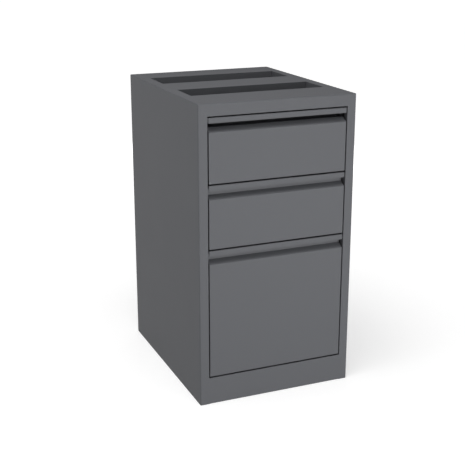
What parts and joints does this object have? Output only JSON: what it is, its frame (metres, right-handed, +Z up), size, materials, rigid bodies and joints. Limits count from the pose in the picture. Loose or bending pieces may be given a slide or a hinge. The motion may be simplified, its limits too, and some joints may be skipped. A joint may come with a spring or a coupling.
{
  "type": "pedestal cabinet",
  "caption": "Steel desk-height pedestal cabinet with two box drawers over a file drawer, full-width recessed pulls, a slotted top frame and a flush base.",
  "frame": {"origin": "on the floor, under the middle of the case", "axes": "+Z up; the drawers face -Y; +X to the right of somebody who faces the drawers"},
  "size_m": [0.381, 0.48, 0.7],
  "materials": {
    "paint": "fine-textured matt powder coat, mid grey",
    "zinc_steel": "bright zinc plate",
    "black_plastic": "moulded black plastic"
  },
  "bodies": {
    "case": {"left_side_panel": "paint", "right_side_panel": "paint", "back_panel": "paint", "bottom_panel": "paint", "base_kick_rail": "paint", "top_front_rail": "paint", "top_cross_rail": "paint", "top_rear_rail": "paint", "front_left_upright": "paint", "rear_left_upright": "paint", "front_right_upright": "paint", "rear_right_upright": "paint", "front_left_glide_bracket": "zinc_steel", "rear_left_glide_bracket": "zinc_steel", "front_right_glide_bracket": "zinc_steel", "rear_right_glide_bracket": "zinc_steel", "top_drawer_left_slide_cabinet_member": "zinc_steel", "top_drawer_right_slide_cabinet_member": "zinc_steel", "middle_drawer_left_slide_cabinet_member": "zinc_steel", "middle_drawer_right_slide_cabinet_member": "zinc_steel", "file_drawer_left_slide_cabinet_member": "zinc_steel", "file_drawer_right_slide_cabinet_member": "zinc_steel"},
    "top_drawer": {"top_drawer_front": "paint", "top_drawer_tray": "paint", "top_drawer_inner_front": "paint", "top_drawer_back": "paint", "top_drawer_left_slide_drawer_member": "zinc_steel", "top_drawer_right_slide_drawer_member": "zinc_steel"},
    "middle_drawer": {"middle_drawer_front": "paint", "middle_drawer_tray": "paint", "middle_drawer_inner_front": "paint", "middle_drawer_back": "paint", "middle_drawer_left_slide_drawer_member": "zinc_steel", "middle_drawer_right_slide_drawer_member": "zinc_steel"},
    "file_drawer": {"file_drawer_front": "paint", "file_drawer_tray": "paint", "file_drawer_inner_front": "paint", "file_drawer_back": "paint", "file_drawer_left_slide_drawer_member": "zinc_steel", "file_drawer_right_slide_drawer_member": "zinc_steel", "file_drawer_left_folder_rail": "black_plastic", "file_drawer_right_folder_rail": "black_plastic"},
    "top_drawer_intermediates": {"top_drawer_left_slide_intermediate_member": "zinc_steel", "top_drawer_right_slide_intermediate_member": "zinc_steel"},
    "middle_drawer_intermediates": {"middle_drawer_left_slide_intermediate_member": "zinc_steel", "middle_drawer_right_slide_intermediate_member": "zinc_steel"},
    "file_drawer_intermediates": {"file_drawer_left_slide_intermediate_member": "zinc_steel", "file_drawer_right_slide_intermediate_member": "zinc_steel"},
    "front_left_glide_body": {"front_left_glide": "black_plastic"},
    "rear_left_glide_body": {"rear_left_glide": "black_plastic"},
    "front_right_glide_body": {"front_right_glide": "black_plastic"},
    "rear_right_glide_body": {"rear_right_glide": "black_plastic"}
  },
  "joints": [
    {"name": "top_drawer_slide", "type": "slide", "parent": "case", "child": "top_drawer", "axis": [0, -1, 0], "range_m": [0, 0.4]},
    {"name": "middle_drawer_slide", "type": "slide", "parent": "case", "child": "middle_drawer", "axis": [0, -1, 0], "range_m": [0, 0.4]},
    {"name": "file_drawer_slide", "type": "slide", "parent": "case", "child": "file_drawer", "axis": [0, -1, 0], "range_m": [0, 0.4]},
    {"name": "top_drawer_intermediate_slide", "type": "slide", "parent": "case", "child": "top_drawer_intermediates", "axis": [0, -1, 0], "range_m": [0, 0.2]},
    {"name": "middle_drawer_intermediate_slide", "type": "slide", "parent": "case", "child": "middle_drawer_intermediates", "axis": [0, -1, 0], "range_m": [0, 0.2]},
    {"name": "file_drawer_intermediate_slide", "type": "slide", "parent": "case", "child": "file_drawer_intermediates", "axis": [0, -1, 0], "range_m": [0, 0.2]},
    {"name": "front_left_glide_screw", "type": "slide", "parent": "case", "child": "front_left_glide_body", "axis": [0, 0, -1], "range_m": [0, 0.02]},
    {"name": "rear_left_glide_screw", "type": "slide", "parent": "case", "child": "rear_left_glide_body", "axis": [0, 0, -1], "range_m": [0, 0.02]},
    {"name": "front_right_glide_screw", "type": "slide", "parent": "case", "child": "front_right_glide_body", "axis": [0, 0, -1], "range_m": [0, 0.02]},
    {"name": "rear_right_glide_screw", "type": "slide", "parent": "case", "child": "rear_right_glide_body", "axis": [0, 0, -1], "range_m": [0, 0.02]}
  ],
  "couplings": [
    {"joint": "top_drawer_intermediate_slide", "follows": "top_drawer_slide", "ratio": 0.5},
    {"joint": "middle_drawer_intermediate_slide", "follows": "middle_drawer_slide", "ratio": 0.5},
    {"joint": "file_drawer_intermediate_slide", "follows": "file_drawer_slide", "ratio": 0.5}
  ]
}
